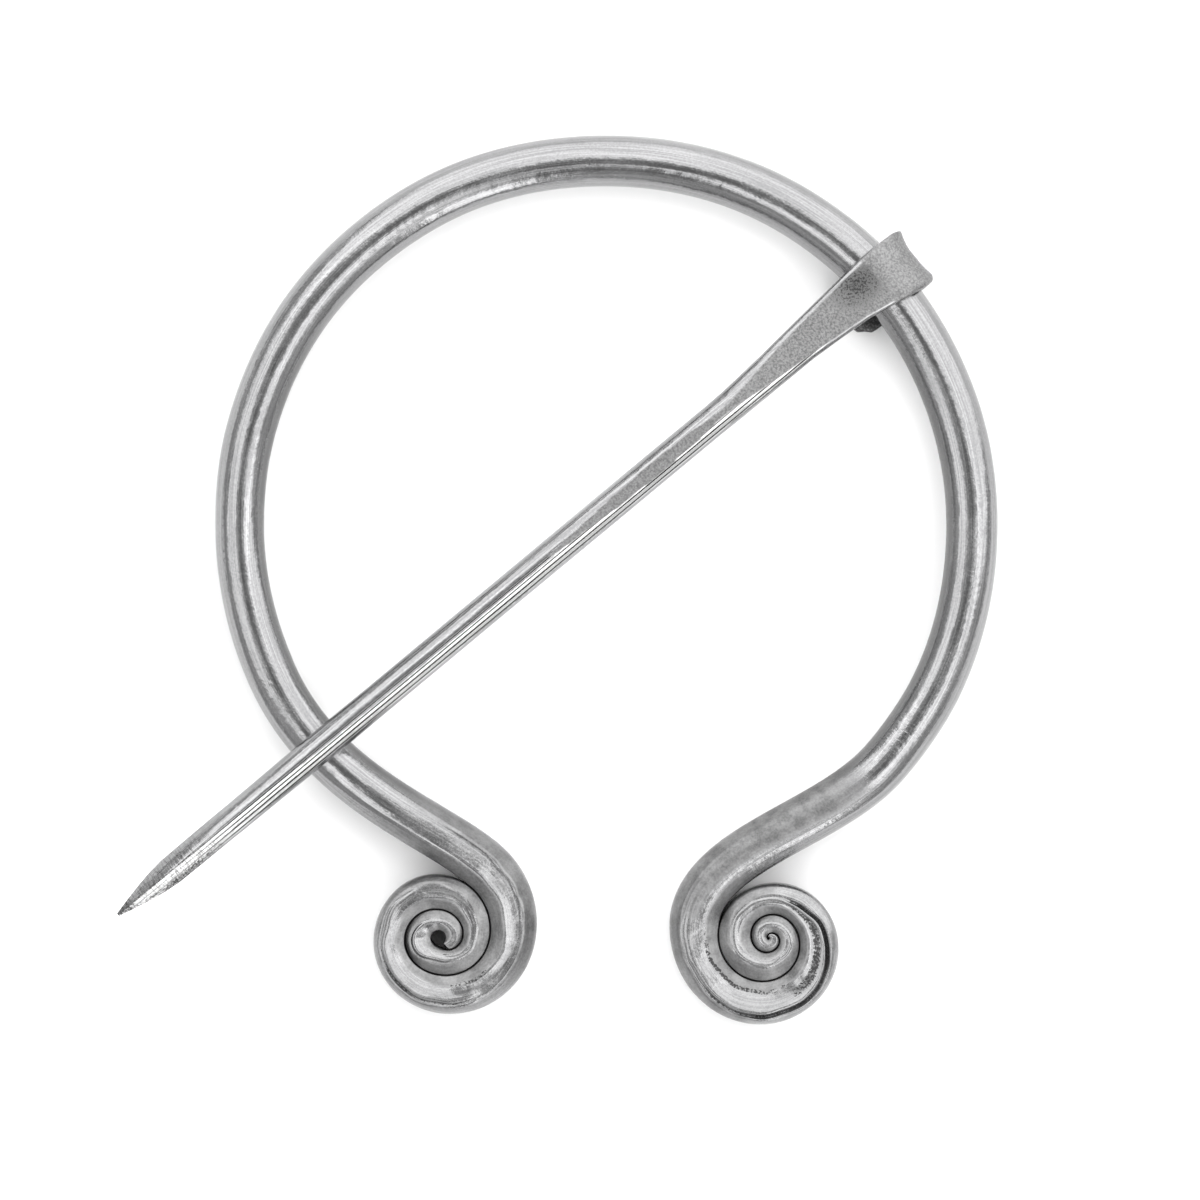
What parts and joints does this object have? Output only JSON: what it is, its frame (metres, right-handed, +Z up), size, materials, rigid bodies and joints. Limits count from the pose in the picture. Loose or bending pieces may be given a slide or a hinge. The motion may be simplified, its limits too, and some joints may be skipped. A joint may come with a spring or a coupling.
{
  "type": "penannular brooch",
  "caption": "Open round hoop whose rod ends are rolled into flat coils, with a straight pin hung on it by a bent strip; the pin travels round the hoop to fasten gathered cloth.",
  "frame": {"origin": "the hoop's centre, on the surface that the brooch lies on", "axes": "+Z up, square to the hoop; +X to the right and +Y away from the gap between the coils"},
  "size_m": [0.0731, 0.0741, 0.0084],
  "materials": {
    "drawn_steel": "polished, with fine lines along the rod and hammered coils",
    "filed_steel": "fine filed grain, matt on the flattened head"
  },
  "bodies": {
    "hoop": {"hoop": "drawn_steel"},
    "pin": {"pin": "filed_steel"}
  },
  "joints": [
    {"name": "pin_travel", "type": "hinge", "parent": "hoop", "child": "pin", "pos_m": [0, 0, 0.00332], "axis": [0, 0, 1], "range_deg": [-75, 156]}
  ]
}
